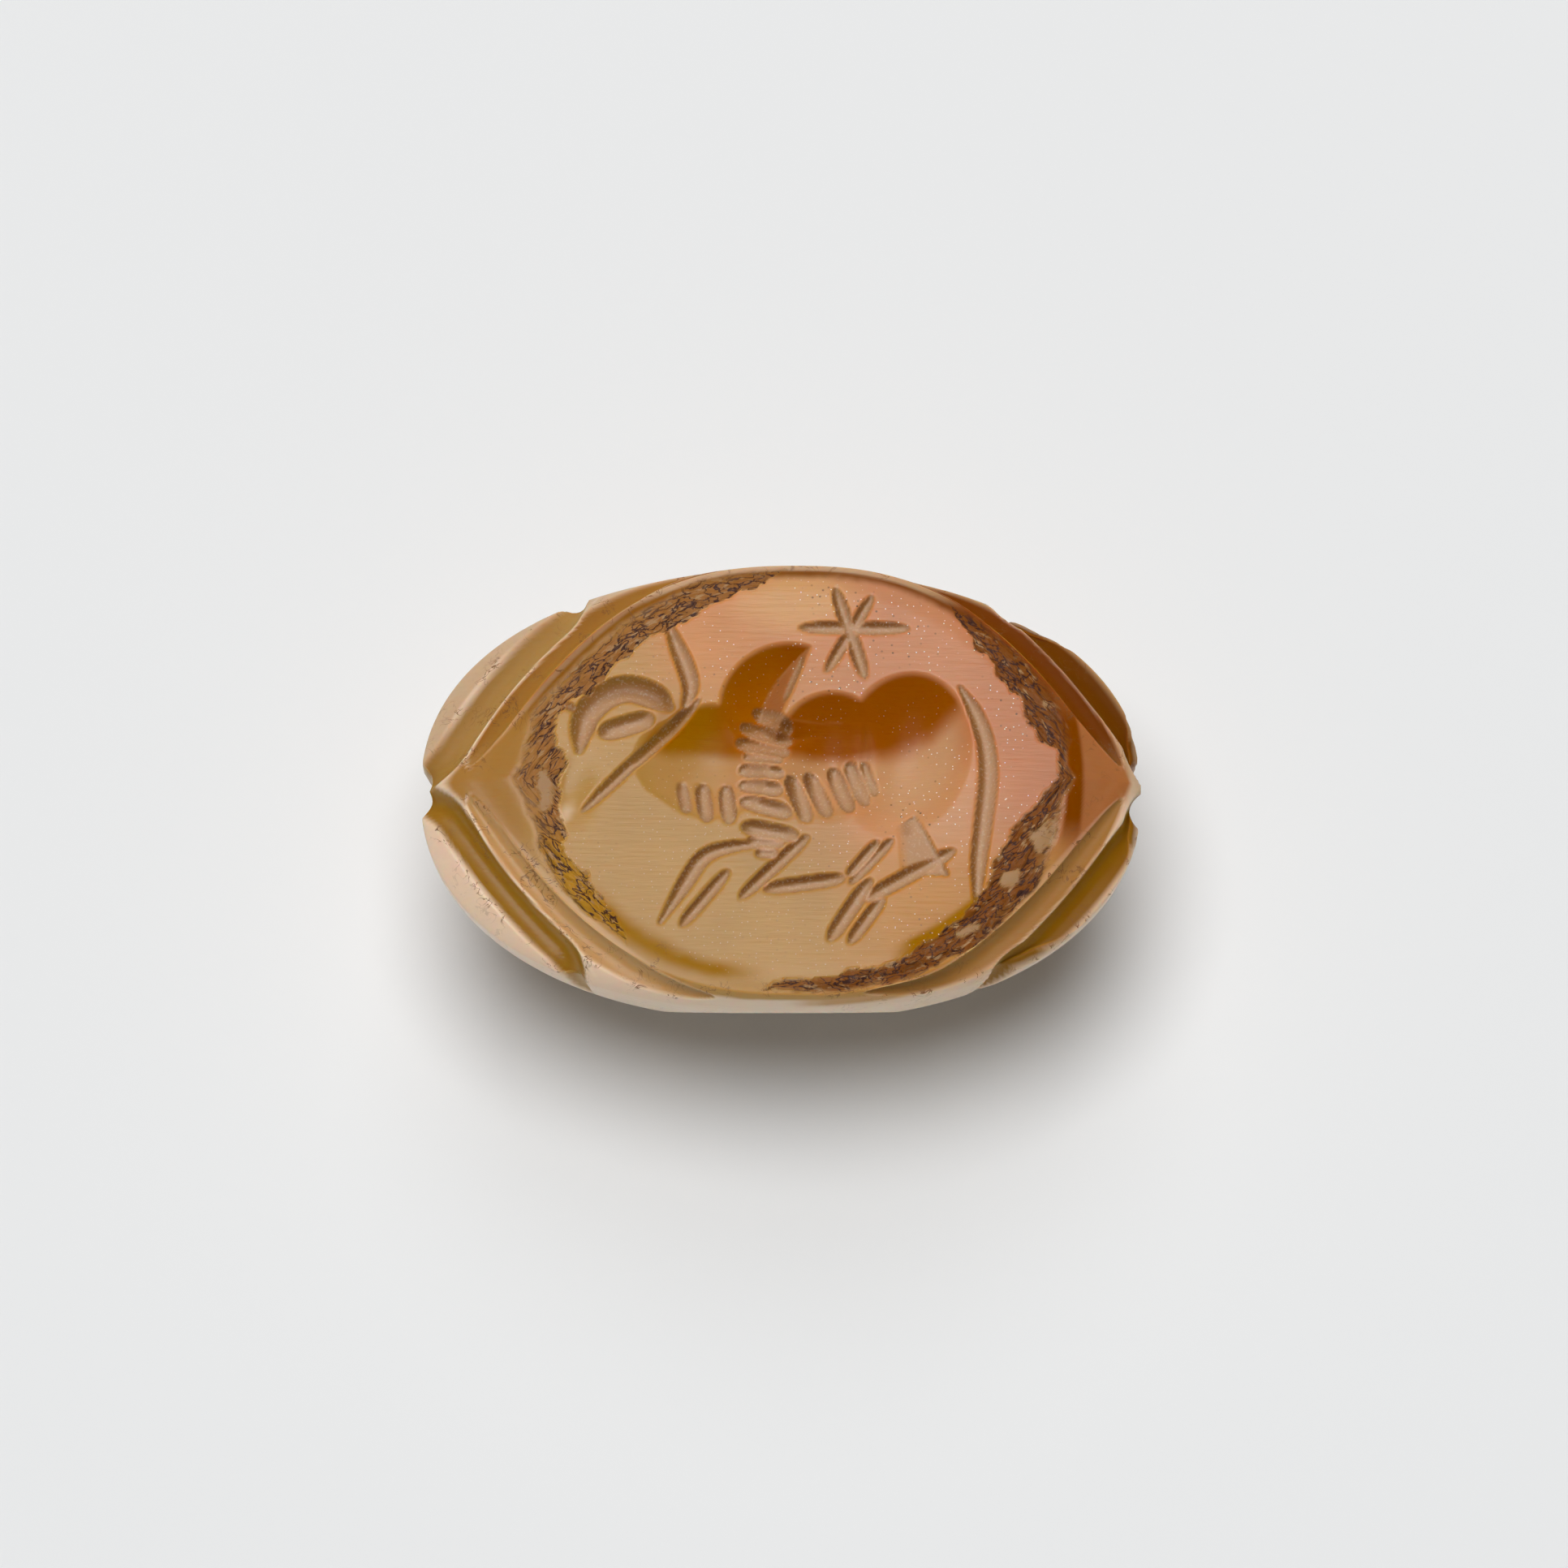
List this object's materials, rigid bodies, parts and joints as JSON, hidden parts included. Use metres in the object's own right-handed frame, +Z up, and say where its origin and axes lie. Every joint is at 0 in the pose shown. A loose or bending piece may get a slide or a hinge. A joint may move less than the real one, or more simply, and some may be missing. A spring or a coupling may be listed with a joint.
{
  "type": "stamp seal",
  "caption": "Ellipsoid stone stamp seal with a flat engraved face showing a humped bull and a star, crescent grooves round its shoulder and a drilled string hole.",
  "frame": {"origin": "middle of the small resting flat on the back, straight under the middle of the stone", "axes": "+X along the face, towards the figure's tail; +Y across the face, towards the star; +Z up, out of the engraved face"},
  "size_m": [0.021, 0.0136, 0.0081],
  "materials": {
    "chalcedony": "worn polish, translucent, banded from tan to salmon, with a rough chipped crust round the face"
  },
  "bodies": {
    "root": {"seal_stone": "chalcedony"}
  },
  "joints": []
}
